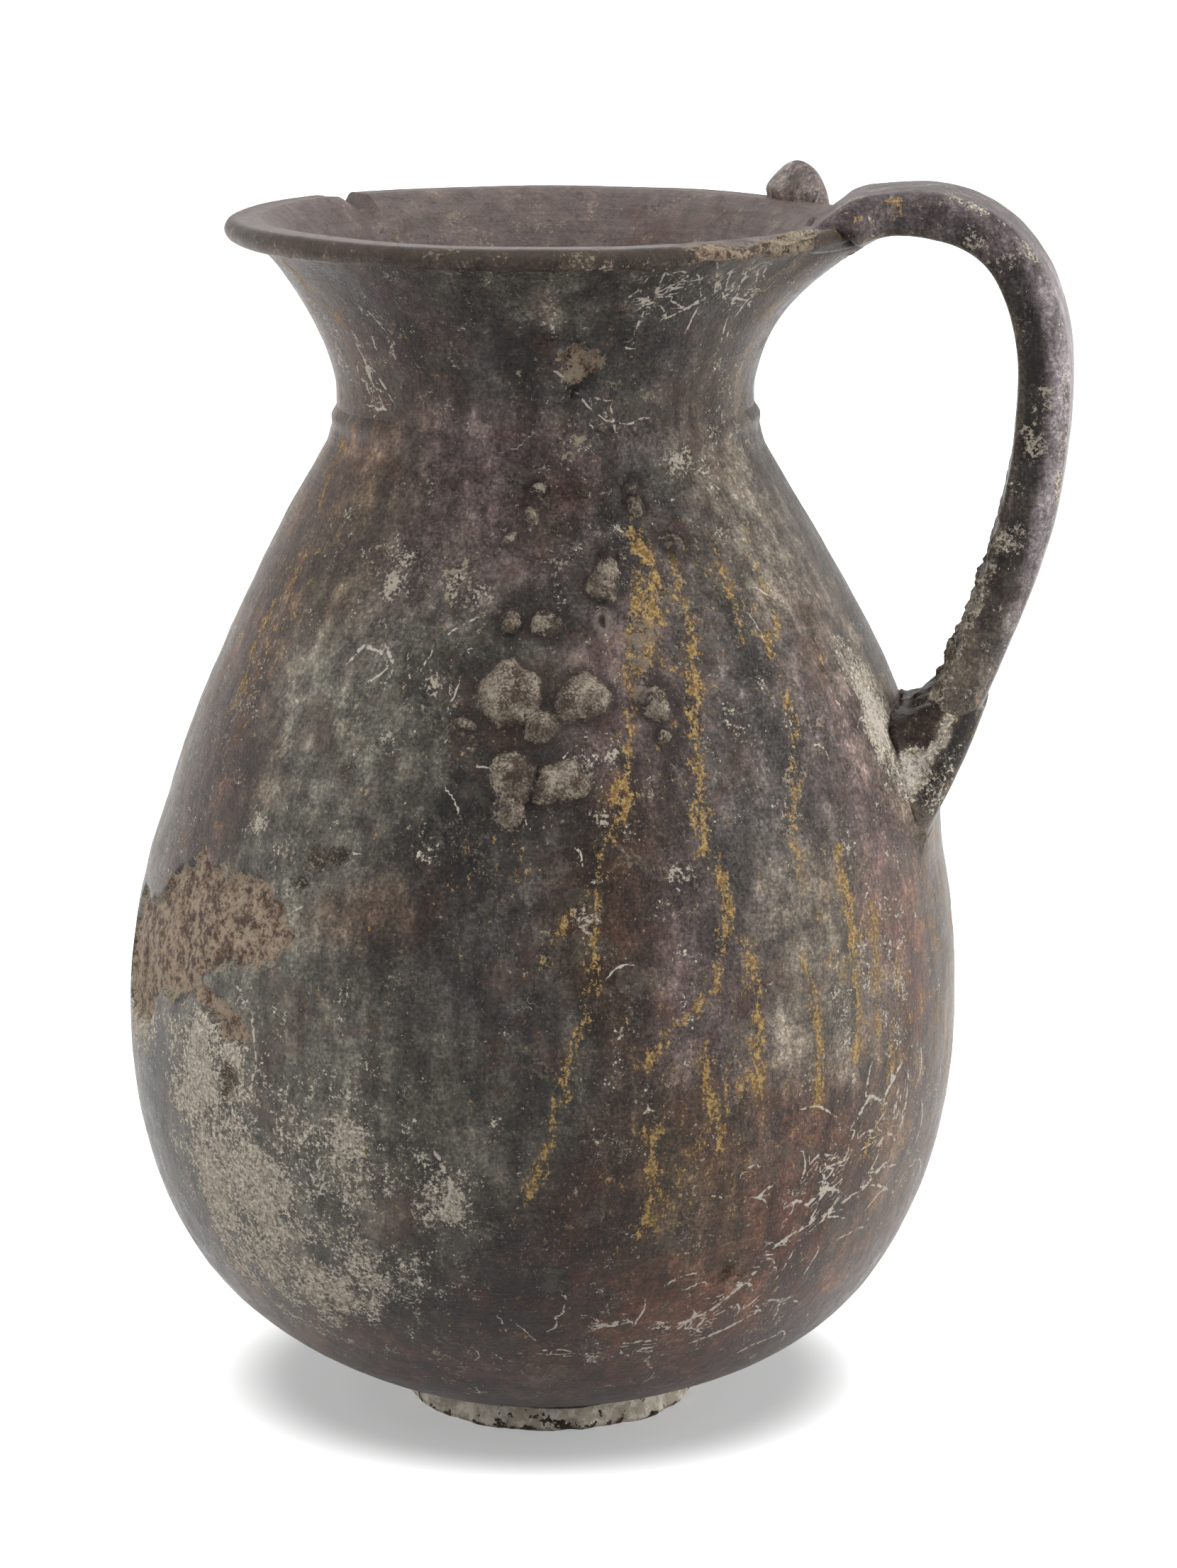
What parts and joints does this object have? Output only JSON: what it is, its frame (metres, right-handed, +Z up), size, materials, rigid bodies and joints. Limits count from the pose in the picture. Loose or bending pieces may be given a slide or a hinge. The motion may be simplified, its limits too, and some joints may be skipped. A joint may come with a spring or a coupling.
{
  "type": "olpe jug",
  "caption": "Handmade pouring jug with a full low belly, narrow neck, flaring round mouth and a high strap handle between rim lobes.",
  "frame": {"origin": "centre of the foot's flat underside, where the jug stands", "axes": "+Z up along the jug; +X towards the strap handle; the jug is nearly symmetric about the XZ plane"},
  "size_m": [0.1944, 0.1732, 0.2587],
  "materials": {
    "foot_clay": "worn unglazed clay, half covered by cream lime crust",
    "burnished_clay": "smoke-blackened burnished clay with brown clouds, lime and ochre stains",
    "handle_clay": "smoke-blackened burnished clay with fine strokes along the strap",
    "limy_clay": "dark clay under a rough pale lime crust",
    "broken_clay": "rough brown broken clay"
  },
  "bodies": {
    "root": {"foot": "foot_clay", "lower_body": "burnished_clay", "upper_body": "burnished_clay", "neck": "burnished_clay", "collar": "burnished_clay", "handle": "handle_clay", "handle_root_clay": "limy_clay", "far_lobe": "handle_clay", "near_lobe_stump": "broken_clay"}
  },
  "joints": []
}
